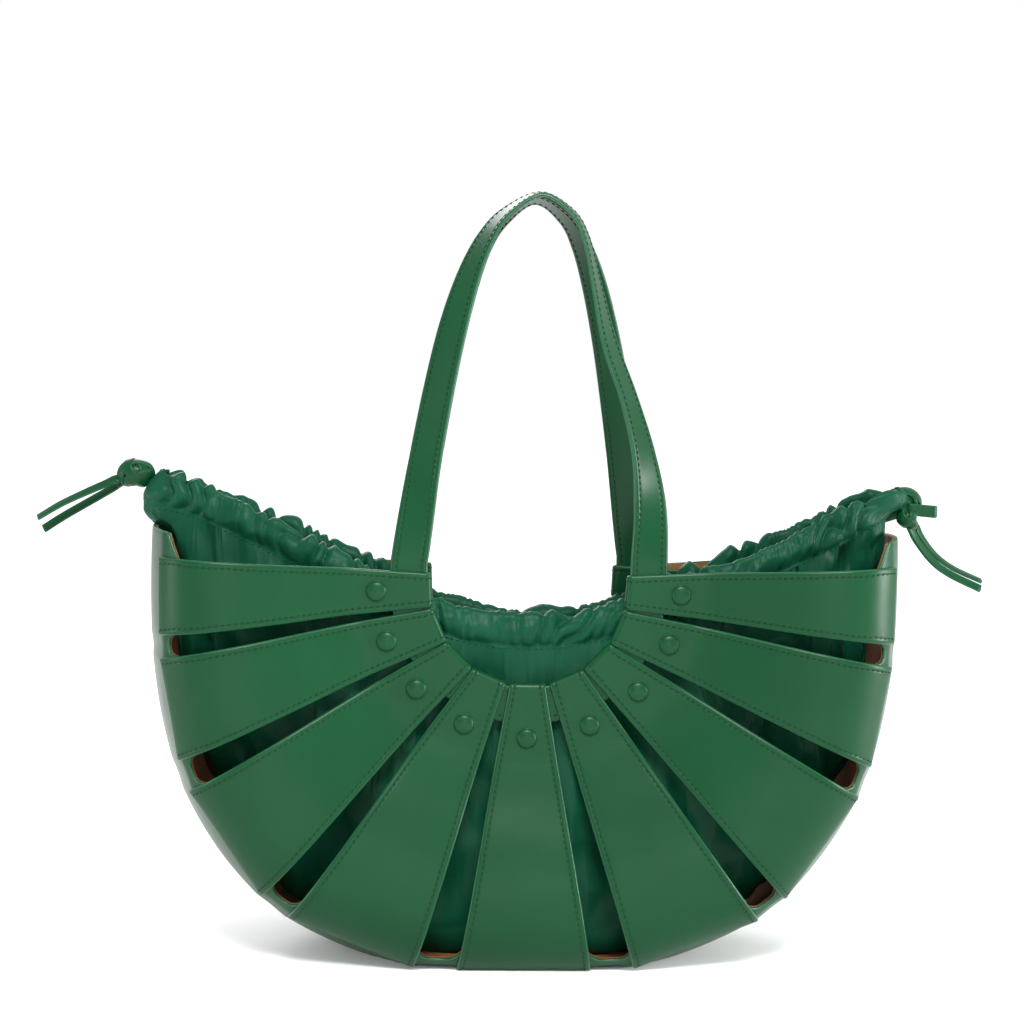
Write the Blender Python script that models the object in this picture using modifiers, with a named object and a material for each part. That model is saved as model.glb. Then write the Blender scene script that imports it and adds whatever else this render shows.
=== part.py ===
"""Half-moon shoulder bag: a cage of leather straps around a drawstring pouch.

Metres, +Z up, front towards -Y. The origin is under the middle of the bag, on the
surface it stands on. Nine straps fan out on the front and nine on the rear, from a
round neckline to a curved gusset. Each strap folds over a neck band and is closed
by a rivet. Two handles carry on from the neck bands, and two laces draw the pouch.
"""
import bpy
import bmesh
from math import asin, cos, pi, radians, sin
from mathutils import Matrix, Vector

# Outline of the cage, seen from the front, about the centre of the neckline
HALF_WIDTH = 0.2222          # neck centre to the side crease
NECK_HEIGHT = 0.2335         # neck centre above the floor
OUTLINE_DROP = 0.2360        # neck centre to the lowest point of the full outline
OUTLINE_POWER = 2.5          # roundness of the outline, 2 would be an ellipse
TIP_ANGLE = -7.8             # gusset ends, degrees below the horizontal
FLOOR_GAP = 0.0012           # strap centre-line above the floor at the bottom

# Straps
STRAP_COUNT = 9
NECK_ANGLES = (3.0, 23.8, 45.0, 66.8, 90.0)     # straps 1 to 5, degrees at the neckline
STRAP_WIDTH = 0.0213         # at the neckline
END_STRAP_WIDTH = 0.0195     # the same for the first and last strap
STRAP_THICKNESS = 0.0020
# first and last corner of each outer end, degrees below the horizontal
STRAP_ENDS = ((-3.9, 7.9), (11.7, 26.9), (31.7, 49.7), (54.7, 73.7), (80.3, 99.7))
GAP = 0.0003                 # between touching pieces

# Front panel profile, as distances in front of the bag's middle
BAND_DEPTH = 0.0450
BAND_THICKNESS = 0.0024
BAND_INNER = 0.0630
BAND_WIDTH = 0.0210
BAND_TOP = 0.2463
FOLD_RADIUS = BAND_THICKNESS / 2 + GAP + STRAP_THICKNESS / 2
FOLD_CENTRE = 0.0628
NECK_DEPTH = BAND_DEPTH + FOLD_RADIUS
FLAT_END = 0.1050            # radius where the strap starts to bow forward
MAX_DEPTH = 0.0735
EDGE_RUN = 0.0300            # last stretch of a strap, which curves back
EDGE_TURN = radians(50)
EDGE_STEPS = 5
EDGE_RADIUS = EDGE_RUN / sin(EDGE_TURN)
TAB_LAYER = 0.0023           # tab centre to strap centre, where they are riveted
TAB_MEET = (0.0848, 0.0884)  # radii between which the tab comes forward
TAB_END = 0.1040

# Rivets
STUD_RUN = 0.0304            # rivet centres from the strap's fold
STUD_HEAD = 0.0065
STUD_DOME = 0.0026
STUD_POST = 0.0020
STUD_HOLE = 0.0024
STUD_BACK = 0.0044
STUD_BACK_THICKNESS = 0.0010
STUD_STEPS = 12

# Gusset and its lining
GUSSET_THICKNESS = 0.0022
GUSSET_CLEARANCE = STRAP_THICKNESS / 2 + 0.0005
GUSSET_BULGE = 0.0125
GUSSET_PINCH = 0.0006        # how far it draws in between two straps
RIM_PINCH = 0.0005
FLANGE = 0.0100
FLANGE_SLOT = 0.0028
FLANGE_TIP = 0.0028
LINING_THICKNESS = 0.0008

# Pouch
POUCH_HALF = 0.2290
POUCH_DEPTH = 0.0520         # half its front-to-back size, low down
POUCH_WAIST = 0.0400         # the same behind the neck band and the rivets
POUCH_WAIST_RADIUS = 0.1060
POUCH_BELLY_RUN = 0.0500
POUCH_TIP_DEPTH = 0.0075
POUCH_RIM_LOW = 0.2135
POUCH_RIM_RISE = 0.0830
POUCH_TIP_DROP = 0.0140
POUCH_GAP = 0.0130           # above the gusset
POUCH_THICKNESS = 0.0016

# Handles: width, thickness and the arch of each as (x, z, twist in degrees)
HANDLE_WIDTH = BAND_WIDTH
HANDLE_THICKNESS = 0.0026
HANDLE_TOP_DEPTH = 0.0112    # arch top in front of, or behind, the bag's middle
HANDLE_TOP = 0.4757
HANDLE_STATIONS = 36
FRONT_ARCH = (
    (-0.0735, 0.2466, 0), (-0.0656, 0.3040, 28), (-0.0573, 0.3520, 36),
    (-0.0490, 0.3910, 42), (-0.0395, 0.4240, 54), (-0.0290, 0.4480, 66),
    (-0.0165, 0.4640, 78), (0.0050, HANDLE_TOP, 90), (0.0240, 0.4650, 84),
    (0.0330, 0.4487, 78), (0.0395, 0.4213, 73), (0.0480, 0.3844, 64),
    (0.0603, 0.3497, 60), (0.0698, 0.3148, 48), (0.0740, 0.2804, 22),
    (0.0735, 0.2466, 0))
REAR_ARCH = (
    (-0.0735, 0.2466, 0), (-0.0650, 0.3040, 26), (-0.0565, 0.3520, 36),
    (-0.0482, 0.3910, 44), (-0.0390, 0.4240, 54), (-0.0290, 0.4480, 66),
    (-0.0165, 0.4640, 78), (0.0030, HANDLE_TOP, 90), (0.0215, 0.4650, 80),
    (0.0325, 0.4480, 68), (0.0415, 0.4240, 56), (0.0500, 0.3910, 46),
    (0.0577, 0.3520, 36), (0.0655, 0.3040, 26), (0.0735, 0.2466, 0))
HINGE_DEPTH = 0.0535
HINGE_HEIGHT = 0.2475

# Laces, as points (x, y, z) and one direction that each pull follows
LACE_RADIUS = 0.0020
TAIL_RADIUS = 0.0022
SHANK_LENGTH = 0.0400
PULL_RISE = radians(18)
LEFT_KNOT = (-0.2466, 0.0, 0.2975)
LEFT_KNOT_SIZE = (0.0125, 0.0085, 0.0092)
RIGHT_KNOT = (0.2490, 0.0, 0.2825)
RIGHT_KNOT_SIZE = (0.0135, 0.0085, 0.0105)
TAIL_ROUTES = {
    "left_lace_tail_upper": (
        (-0.2592, -0.0035, 0.2932), (-0.2640, -0.0042, 0.2908), (-0.2770, -0.0055, 0.2848),
        (-0.2915, -0.0060, 0.2776), (-0.3055, -0.0062, 0.2690)),
    "left_lace_tail_lower": (
        (-0.2570, 0.0030, 0.2904), (-0.2625, 0.0036, 0.2868), (-0.2727, 0.0048, 0.2808),
        (-0.2915, 0.0062, 0.2697), (-0.3045, 0.0068, 0.2612)),
    "right_lace_tail_upper": (
        (0.2510, 0.0030, 0.2706), (0.2545, 0.0036, 0.2640), (0.2640, 0.0048, 0.2533),
        (0.2765, 0.0058, 0.2450), (0.2945, 0.0064, 0.2368)),
    "right_lace_tail_lower": (
        (0.2445, -0.0030, 0.2704), (0.2480, -0.0036, 0.2620), (0.2585, -0.0050, 0.2490),
        (0.2700, -0.0060, 0.2410), (0.2900, -0.0066, 0.2318)),
}
TAIL_POINTS = 9

COLOURS = {
    "leather": ((0.026, 0.135, 0.066), 0.42),
    "lining": ((0.300, 0.130, 0.045), 0.75),
    "cloth": ((0.030, 0.150, 0.088), 0.55),
}


def clear_scene():
    for ob in list(bpy.data.objects):
        bpy.data.objects.remove(ob)


def new_collection(name):
    collection = bpy.data.collections.new(name)
    bpy.context.scene.collection.children.link(collection)
    return collection


def new_material(name, look):
    colour, roughness = COLOURS[look]
    material = bpy.data.materials.new(name)
    material.use_nodes = True
    shader = material.node_tree.nodes["Principled BSDF"]
    shader.inputs["Base Color"].default_value = (*colour, 1)
    shader.inputs["Roughness"].default_value = roughness
    shader.inputs["Metallic"].default_value = 0.0
    return material


def add_object(name, mesh, collection, look=None):
    ob = bpy.data.objects.new(name, mesh)
    collection.objects.link(ob)
    if look:
        mesh.materials.append(new_material(name, look))
    return ob


def grid_mesh(name, columns, rows, point, inset=0.0):
    """A grid of columns x rows quads, each corner placed by point(column, row)."""
    bm = bmesh.new()
    bmesh.ops.create_grid(bm, x_segments=columns, y_segments=rows, size=0.5)
    for vert in bm.verts:
        column = round((vert.co.x + 0.5) * columns)
        row = round((vert.co.y + 0.5) * rows)
        vert.co = point(column, row)
    bm.normal_update()
    if inset:
        moves = [vert.normal * vert.calc_shell_factor() * inset for vert in bm.verts]
        for vert, move in zip(bm.verts, moves):
            vert.co -= move
    mesh = bpy.data.meshes.new(name)
    bm.to_mesh(mesh)
    bm.free()
    mesh.shade_smooth()
    mesh.set_sharp_from_angle(angle=radians(40))
    return mesh


def solidify(ob, thickness, offset):
    modifier = ob.modifiers.new("Thickness", "SOLIDIFY")
    modifier.thickness = thickness
    modifier.offset = offset
    modifier.use_even_offset = True


def spline(points, count):
    """count + 1 points on a smooth curve through the given ones (Catmull-Rom)."""
    knots = [Vector(p) for p in points]
    knots = [2 * knots[0] - knots[1]] + knots + [2 * knots[-1] - knots[-2]]
    spans = len(knots) - 3
    out = []
    for i in range(count + 1):
        place = i / count * spans
        k = min(int(place), spans - 1)
        t = place - k
        a, b, c, d = knots[k:k + 4]
        out.append(0.5 * (2 * b + (c - a) * t + (2 * a - 5 * b + 4 * c - d) * t ** 2
                          + (3 * b - a - 3 * c + d) * t ** 3))
    return out


# ---------------------------------------------------------------- outline of the cage

def direction(angle):
    """Unit vector (x, z) at an angle in degrees below the left horizontal."""
    return Vector((-cos(radians(angle)), -sin(radians(angle))))


def outline(angle):
    """Point (x, z) of the smooth outline, about the neck centre."""
    a = radians(angle)
    reach = (abs(cos(a) / HALF_WIDTH) ** OUTLINE_POWER
             + abs(sin(a) / OUTLINE_DROP) ** OUTLINE_POWER) ** (-1 / OUTLINE_POWER)
    point = direction(angle) * reach
    point.y = max(point.y, FLOOR_GAP - NECK_HEIGHT)
    return point


def strap_angles(index):
    """Outer corner angles of strap 0 to 8, counted from the left."""
    if index < 5:
        return STRAP_ENDS[index]
    first, last = STRAP_ENDS[8 - index]
    return 180 - last, 180 - first


def neck_edges(index):
    """Radial direction of a strap at the neckline, and half its width across it."""
    angle = NECK_ANGLES[index] if index < 5 else 180 - NECK_ANGLES[8 - index]
    width = END_STRAP_WIDTH if index in (0, STRAP_COUNT - 1) else STRAP_WIDTH
    along = direction(angle)
    return along, Vector((-along.y, along.x)) * width / 2


def stud_place(index):
    """Rivet centre (x, z), on the strap's own centre-line."""
    start = neck_edges(index)[0] * FOLD_CENTRE
    first, last = strap_angles(index)
    run = (outline(first) + outline(last)) / 2 - start
    return start + run.normalized() * STUD_RUN


def edge_angle(run):
    """How far the panel has turned back, at a distance inside its outer edge."""
    return asin(max(0.0, EDGE_RUN - run) / EDGE_RADIUS)


def edge_depth(run):
    return MAX_DEPTH - EDGE_RADIUS * (1 - cos(edge_angle(run)))


def in_space(flat, depth, side):
    """A point from (x, z) about the neck centre; side is 1 in front, -1 behind."""
    return Vector((flat.x, -side * depth, flat.y + NECK_HEIGHT))


# ---------------------------------------------------------------------------- straps

def strap_stations(length):
    """Stations (radius or None, run from the fold, depth) from tab end to outer edge."""
    stations = [(TAB_END, 0, NECK_DEPTH - TAB_LAYER), (TAB_MEET[1], 0, NECK_DEPTH - TAB_LAYER),
                (TAB_MEET[0], 0, NECK_DEPTH - 2 * FOLD_RADIUS)]
    for i in range(7):
        turn = pi * i / 6
        stations.append((FOLD_CENTRE - FOLD_RADIUS * sin(turn), 0,
                         BAND_DEPTH - FOLD_RADIUS * cos(turn)))
    flat = FLAT_END - FOLD_CENTRE
    bow = length - EDGE_RUN - flat
    stations.append((None, flat, NECK_DEPTH))
    for i in range(1, 6):
        rise = sin(pi / 2 * i / 5) ** 1.5
        stations.append((None, flat + bow * i / 5, NECK_DEPTH + (MAX_DEPTH - NECK_DEPTH) * rise))
    for i in range(1, EDGE_STEPS + 1):
        run = EDGE_RUN - EDGE_RADIUS * sin(EDGE_TURN * i / EDGE_STEPS)
        stations.append((None, length - run, edge_depth(run)))
    return stations


def make_strap(name, index, side, collection, cutters):
    first, last = (outline(a) for a in strap_angles(index))
    along, across = neck_edges(index)
    corners = (along * FOLD_CENTRE - across, along * FOLD_CENTRE + across)
    ends = (first, last)
    length = ((first + last) / 2 - along * FOLD_CENTRE).length
    stations = strap_stations(length)

    def point(column, row):
        radius, run, depth = stations[column]
        if radius is None:
            flat = corners[row].lerp(ends[row], run / length)
        else:
            flat = along * radius + across * (2 * row - 1)
        return in_space(flat, depth, side)

    mesh = grid_mesh(name, len(stations) - 1, 1, point)
    strap = add_object(name, mesh, collection, "leather")
    solidify(strap, STRAP_THICKNESS, 0)
    cut = strap.modifiers.new("Rivet hole", "BOOLEAN")
    cut.operation = "DIFFERENCE"
    cut.object = make_hole_cutter(name, index, side, cutters)
    return strap


def rivet_frame(index, side, depth):
    """Matrix whose local +Z points out of the panel at a rivet."""
    out = Vector((0, -side, 0))
    turn = out.to_track_quat("Z", "Y").to_matrix().to_4x4()
    return Matrix.Translation(in_space(stud_place(index), depth, side)) @ turn


def make_hole_cutter(name, index, side, cutters):
    mesh = bpy.data.meshes.new(name + "_hole")
    bm = bmesh.new()
    bmesh.ops.create_cone(bm, cap_ends=True, segments=STUD_STEPS, radius1=STUD_HOLE,
                          radius2=STUD_HOLE, depth=0.012,
                          matrix=rivet_frame(index, side, NECK_DEPTH))
    bm.to_mesh(mesh)
    bm.free()
    cutter = add_object(name + "_hole", mesh, cutters)
    cutter.hide_render = True
    cutter.display_type = "WIRE"
    return cutter


def make_stud(name, index, side, collection):
    """A rivet: domed head, post through both layers and flat back."""
    head = STRAP_THICKNESS / 2 + GAP
    back = -TAB_LAYER - STRAP_THICKNESS / 2 - GAP
    profile = [(0, head + STUD_DOME)]
    for angle in (62, 36, 12):
        profile.append((STUD_HEAD * cos(radians(angle)),
                        head + STUD_DOME * sin(radians(angle))))
    profile += [(STUD_HEAD * 0.97, head), (STUD_POST, head), (STUD_POST, back),
                (STUD_BACK, back), (STUD_BACK, back - STUD_BACK_THICKNESS),
                (0, back - STUD_BACK_THICKNESS)]
    mesh = bpy.data.meshes.new(name)
    mesh.from_pydata([(x, 0, z) for x, z in profile],
                     [(i, i + 1) for i in range(len(profile) - 1)], [])
    stud = add_object(name, mesh, collection, "leather")
    stud.matrix_world = rivet_frame(index, side, NECK_DEPTH)
    turn = stud.modifiers.new("Turn", "SCREW")
    turn.steps = turn.render_steps = STUD_STEPS
    turn.use_merge_vertices = True
    turn.merge_threshold = 0.00001
    return stud


# ---------------------------------------------------------------------------- gusset

def gusset_stations():
    """Stations (angle, edge point, flange width, pinch) from the left tip to the right."""
    tip_left = strap_angles(0)[0]
    stations = [(TIP_ANGLE, outline(TIP_ANGLE), FLANGE_TIP, 0)]
    previous = tip_left
    for index in range(STRAP_COUNT):
        first, last = strap_angles(index)
        start, end = outline(first), outline(last)
        if index:
            before = outline(previous)
            for t in (0.14, 0.5, 0.86):
                pinch = sin(pi * t)
                angle = previous + (first - previous) * t
                point = before.lerp(start, t) - direction(angle) * RIM_PINCH * pinch
                width = FLANGE_SLOT + (FLANGE - FLANGE_SLOT) * abs(2 * t - 1) ** 4
                stations.append((angle, point, width, pinch))
        for t in (0, 0.5, 1):
            stations.append((first + (last - first) * t, start.lerp(end, t), FLANGE, 0))
        previous = last
    stations.append((180 - TIP_ANGLE, outline(180 - TIP_ANGLE), FLANGE_TIP, 0))
    return stations


def gusset_section(station):
    """Outer surface across the gusset, front flange edge to rear flange edge."""
    angle, edge, width, pinch = station
    out = direction(angle)
    half = []
    for run in (width, width / 2, 0):
        turn = edge_angle(run)
        flat = edge - out * (run + GUSSET_CLEARANCE * sin(turn))
        half.append((flat, edge_depth(run) - GUSSET_CLEARANCE * cos(turn)))
    start, start_depth = half[-1]
    middle = outline(angle) + out * (GUSSET_BULGE - GUSSET_PINCH * pinch)
    for t in (0.3, 0.62, 1):
        half.append((start.lerp(middle, 1 - (1 - t) ** 2), start_depth * (1 - t)))
    points = [in_space(flat, depth, 1) for flat, depth in half]
    points += [in_space(flat, depth, -1) for flat, depth in half[-2::-1]]
    for point in points:
        point.z = max(point.z, 0)
    return points


def make_gusset(collection):
    sections = [gusset_section(station) for station in gusset_stations()]
    rows = len(sections[0]) - 1

    def point(column, row):
        return sections[column][row]

    gusset = add_object("gusset", grid_mesh("gusset", len(sections) - 1, rows, point),
                        collection, "leather")
    outward = gusset.data.vertices[0].normal
    sign = 1 if outward.x < 0 else -1
    solidify(gusset, GUSSET_THICKNESS, -sign)
    inset = sign * (GUSSET_THICKNESS + GAP)
    mesh = grid_mesh("gusset_lining", len(sections) - 1, rows, point, inset)
    lining = add_object("gusset_lining", mesh, collection, "lining")
    solidify(lining, LINING_THICKNESS, -sign)


# -------------------------------------------------------------- neck bands and handles

def make_neck_band(name, side, collection):
    """A flat half ring, with a short straight stretch up to each handle leg."""
    stations = [(0, BAND_TOP - NECK_HEIGHT)]
    stations += [(pi * i / 24, 0) for i in range(25)]
    stations.append((pi, BAND_TOP - NECK_HEIGHT))

    def point(column, row):
        turn, lift = stations[column]
        radius = BAND_INNER + BAND_WIDTH * row
        flat = Vector((-radius * cos(turn), lift - radius * sin(turn)))
        return in_space(flat, BAND_DEPTH, side)

    band = add_object(name, grid_mesh(name, len(stations) - 1, 1, point), collection, "leather")
    solidify(band, BAND_THICKNESS, 0)
    return band


def make_handle(name, arch, side, collection):
    """A strap that stands on its neck band, leans in and twists flat over the top."""
    base = arch[0][1]
    places = spline(arch, HANDLE_STATIONS)
    lean = (BAND_DEPTH - HANDLE_TOP_DEPTH) / (HANDLE_TOP - base)
    centres = [Vector((x, -side * (BAND_DEPTH - lean * (z - base)), z)) for x, z, twist in places]
    front = Vector((0, -side, -lean)).normalized()

    def point(column, row):
        if column in (0, HANDLE_STATIONS):
            inner = Vector((1 if column == 0 else -1, 0, 0))
        else:
            tangent = centres[column + 1] - centres[column - 1]
            inner = (tangent.cross(front) * side).normalized()
        twist = radians(places[column][2])
        width = inner * cos(twist) + front * sin(twist)
        return centres[column] + width * HANDLE_WIDTH * (row - 0.5)

    hinge = bpy.data.objects.new(name + "_hinge", None)
    collection.objects.link(hinge)
    hinge.location = (0, -side * HINGE_DEPTH, HINGE_HEIGHT)
    handle = add_object(name, grid_mesh(name, HANDLE_STATIONS, 1, point), collection, "leather")
    handle.parent = hinge
    handle.matrix_parent_inverse = Matrix.Translation(hinge.location).inverted()
    solidify(handle, HANDLE_THICKNESS, 0)
    return handle


# ----------------------------------------------------------------------------- pouch

def pouch_rim(x):
    return POUCH_RIM_LOW + POUCH_RIM_RISE * (abs(x) / POUCH_HALF) ** 1.3


def pouch_bottom(x):
    """Lowest point of the pouch at x, a little above the gusset."""
    inner = HALF_WIDTH + GUSSET_BULGE - POUCH_GAP
    drop = max(0.0, 1 - (abs(x) / inner) ** OUTLINE_POWER) ** (1 / OUTLINE_POWER)
    floor = NECK_HEIGHT - (OUTLINE_DROP - POUCH_GAP) * drop
    return min(floor, pouch_rim(x) - POUCH_TIP_DROP)


def make_pouch(collection):
    """An open boat-shaped bag whose rim dips at the neckline and rises to each tip."""
    columns, rows = 28, 16

    def point(column, row):
        x = -POUCH_HALF * cos(pi * column / columns)
        swell = max(0.0, 1 - (abs(x) / POUCH_HALF) ** 2.6) ** 0.7
        turn = pi * row / rows
        rim, low = pouch_rim(x), pouch_bottom(x)
        z = rim - (rim - low) * sin(turn)
        away = Vector((x, z - NECK_HEIGHT)).length - POUCH_WAIST_RADIUS
        belly = min(1.0, max(0.0, away / POUCH_BELLY_RUN)) * (POUCH_DEPTH - POUCH_WAIST)
        depth = POUCH_TIP_DEPTH + (POUCH_WAIST + belly - POUCH_TIP_DEPTH) * swell
        y = 0 if row * 2 == rows else depth * abs(cos(turn)) ** 0.45
        return Vector((x, -y if row * 2 < rows else y, z))

    pouch = add_object("pouch", grid_mesh("pouch", columns, rows, point), collection, "cloth")
    solidify(pouch, POUCH_THICKNESS, 0)
    return pouch


# ----------------------------------------------------------------------------- laces

def make_tube(name, points, radius, collection):
    curve = bpy.data.curves.new(name, "CURVE")
    curve.dimensions = "3D"
    curve.bevel_depth = radius
    curve.bevel_resolution = 2
    curve.use_fill_caps = True
    curve.render_resolution_u = 0
    line = curve.splines.new("POLY")
    line.points.add(len(points) - 1)
    for spot, point in zip(line.points, points):
        spot.co = (*point, 1)
    curve.materials.append(new_material(name, "leather"))
    tube = bpy.data.objects.new(name, curve)
    collection.objects.link(tube)
    return tube


def make_knot(name, centre, size, collection):
    mesh = bpy.data.meshes.new(name)
    bm = bmesh.new()
    bmesh.ops.create_uvsphere(bm, u_segments=14, v_segments=8, radius=1,
                              matrix=Matrix.Diagonal((*size, 1)))
    bm.to_mesh(mesh)
    bm.free()
    mesh.shade_smooth()
    knot = add_object(name, mesh, collection, "leather")
    knot.location = centre
    return knot


def make_shank(name, centre, size, sign, collection):
    """The doubled lace, from the knot back into the tip of the pouch."""
    along = Vector((-sign * cos(PULL_RISE), 0, -sin(PULL_RISE)))
    start = Vector(centre) + along * (size[0] + 0.0006)
    points = [start + along * SHANK_LENGTH * i / 4 for i in range(5)]
    return make_tube(name, points, LACE_RADIUS, collection)


def build():
    clear_scene()
    parts = new_collection("half_moon_bag")
    cutters = new_collection("cutters")
    make_gusset(parts)
    for side, where, arch in ((1, "front", FRONT_ARCH), (-1, "rear", REAR_ARCH)):
        for index in range(STRAP_COUNT):
            make_strap(f"{where}_strap_{index + 1}", index, side, parts, cutters)
            make_stud(f"{where}_stud_{index + 1}", index, side, parts)
        make_neck_band(where + "_neck_band", side, parts)
        make_handle(where + "_handle", arch, side, parts)
    make_pouch(parts)
    for sign, where, centre, size in ((-1, "left", LEFT_KNOT, LEFT_KNOT_SIZE),
                                      (1, "right", RIGHT_KNOT, RIGHT_KNOT_SIZE)):
        make_knot(where + "_lace_knot", centre, size, parts)
        make_shank(where + "_lace", centre, size, sign, parts)
    for name, route in TAIL_ROUTES.items():
        make_tube(name, spline(route, TAIL_POINTS), TAIL_RADIUS, parts)


build()
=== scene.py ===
"""Looks of the half-moon strap-cage bag: leather straps, gusset, handles, pouch and laces."""
from math import asin, cos, pi, radians, sin

import bpy
import numpy as np
from mathutils import Matrix, Vector, noise


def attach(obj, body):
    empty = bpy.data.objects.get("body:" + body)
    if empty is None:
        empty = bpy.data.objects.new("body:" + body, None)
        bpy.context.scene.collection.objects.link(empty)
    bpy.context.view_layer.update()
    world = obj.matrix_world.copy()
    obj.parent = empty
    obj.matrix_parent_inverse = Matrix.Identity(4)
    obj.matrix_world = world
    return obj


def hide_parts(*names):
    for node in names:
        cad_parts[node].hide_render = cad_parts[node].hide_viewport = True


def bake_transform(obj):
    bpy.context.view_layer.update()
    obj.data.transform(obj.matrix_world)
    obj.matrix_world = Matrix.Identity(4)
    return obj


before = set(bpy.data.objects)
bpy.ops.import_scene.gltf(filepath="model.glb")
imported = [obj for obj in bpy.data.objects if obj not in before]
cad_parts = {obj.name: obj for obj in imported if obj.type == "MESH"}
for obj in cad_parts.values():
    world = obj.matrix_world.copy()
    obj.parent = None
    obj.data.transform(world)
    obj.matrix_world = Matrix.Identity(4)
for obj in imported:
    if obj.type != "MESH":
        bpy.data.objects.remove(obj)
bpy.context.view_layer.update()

# Outline of the cage about the neck centre, as in the CAD model
HALF_WIDTH = 0.2222
NECK_HEIGHT = 0.2335
OUTLINE_DROP = 0.2360
OUTLINE_POWER = 2.5
TIP_ANGLE = -7.8
FLOOR_GAP = 0.0012

# Straps
STRAP_COUNT = 9
NECK_ANGLES = (3.0, 23.8, 45.0, 66.8, 90.0)
STRAP_WIDTH = 0.0213
END_STRAP_WIDTH = 0.0195
STRAP_THICKNESS = 0.0020
STRAP_ENDS = ((-3.9, 7.9), (11.7, 26.9), (31.7, 49.7), (54.7, 73.7), (80.3, 99.7))
GAP = 0.0003

# Front panel profile
BAND_DEPTH = 0.0450
BAND_THICKNESS = 0.0024
BAND_INNER = 0.0630
BAND_WIDTH = 0.0210
FOLD_RADIUS = BAND_THICKNESS / 2 + GAP + STRAP_THICKNESS / 2
FOLD_CENTRE = 0.0628
NECK_DEPTH = BAND_DEPTH + FOLD_RADIUS
FLAT_END = 0.1050
MAX_DEPTH = 0.0735
EDGE_RUN = 0.0300
EDGE_TURN = radians(50)
EDGE_RADIUS = EDGE_RUN / sin(EDGE_TURN)
TAB_LAYER = 0.0023
TAB_MEET = (0.0848, 0.0884)
TAB_END = 0.1040

# Rivets
STUD_RUN = 0.0304
STUD_HEAD = 0.0065
STUD_DOME = 0.0026

# Gusset and lining
GUSSET_THICKNESS = 0.0022
GUSSET_CLEARANCE = STRAP_THICKNESS / 2 + 0.0005
GUSSET_BULGE = 0.0125
GUSSET_PINCH = 0.0006
RIM_PINCH = 0.0005
FLANGE = 0.0100
FLANGE_SLOT = 0.0028
FLANGE_TIP = 0.0028
LINING_THICKNESS = 0.0008

# Pouch
POUCH_HALF = 0.2290
POUCH_DEPTH = 0.0520
POUCH_WAIST = 0.0400
POUCH_WAIST_RADIUS = 0.1060
POUCH_BELLY_RUN = 0.0500
POUCH_RIM_LOW = 0.2135
POUCH_RIM_RISE = 0.0830
POUCH_GAP = 0.0130
POUCH_SAG = 0.0065
CASING = 0.0200              # height of the gathered casing under the rim
CASING_ROWS = (4, 8, 13)     # inside layer, rolled top and outside of the casing
CASING_PUFF = 0.0028
HEM_RADIUS = 0.0030
BODY_ROWS = 46
MOUTH_DEPTH = 0.0330
RIM_LEFT_RISE = 0.0082
REAR_LIFT = 0.0025           # the rear rim stands up left of the middle and sags at the middle
REAR_DROP = 0.0045
PLEAT_PITCH = 0.0115
PLEAT_HEIGHT = 0.0027
RIM_RIPPLE = 0.0008
BODY_CRUMPLES = ((11, 14, 0.0062), (25, 24, 0.0030), (55, 47, 0.0010))
BODY_SINK = 0.0060
POUCH_COLUMNS = 420
CLOTH_THICKNESS = 0.0007
SLACK = 0.07                 # how much larger than the shape the cloth is cut
SIM_FRAMES = 16
SIM_CAP = 0.0060

# Handles
HANDLE_TOP_DEPTH = 0.0112
HANDLE_TOP = 0.4757
FRONT_ARCH = (
    (-0.0735, 0.2466, 0), (-0.0656, 0.3040, 28), (-0.0573, 0.3520, 36),
    (-0.0490, 0.3910, 42), (-0.0395, 0.4240, 54), (-0.0290, 0.4480, 66),
    (-0.0165, 0.4640, 78), (0.0050, HANDLE_TOP, 90), (0.0240, 0.4650, 84),
    (0.0330, 0.4487, 78), (0.0395, 0.4213, 73), (0.0480, 0.3844, 64),
    (0.0603, 0.3497, 60), (0.0698, 0.3148, 48), (0.0740, 0.2804, 22),
    (0.0735, 0.2466, 0))
REAR_ARCH = (
    (-0.0735, 0.2466, 0), (-0.0650, 0.3040, 26), (-0.0565, 0.3520, 36),
    (-0.0482, 0.3910, 44), (-0.0390, 0.4240, 54), (-0.0290, 0.4480, 66),
    (-0.0165, 0.4640, 78), (0.0030, HANDLE_TOP, 90), (0.0215, 0.4650, 80),
    (0.0325, 0.4480, 68), (0.0415, 0.4240, 56), (0.0500, 0.3910, 46),
    (0.0577, 0.3520, 36), (0.0655, 0.3040, 26), (0.0735, 0.2466, 0))

# Stitching
STITCH_INSET = 0.0029
STITCH_PITCH = 0.0038
STITCH_LENGTH = 0.0026
STITCH_RADIUS = 0.00034
GROOVE = 0.00014

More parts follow.
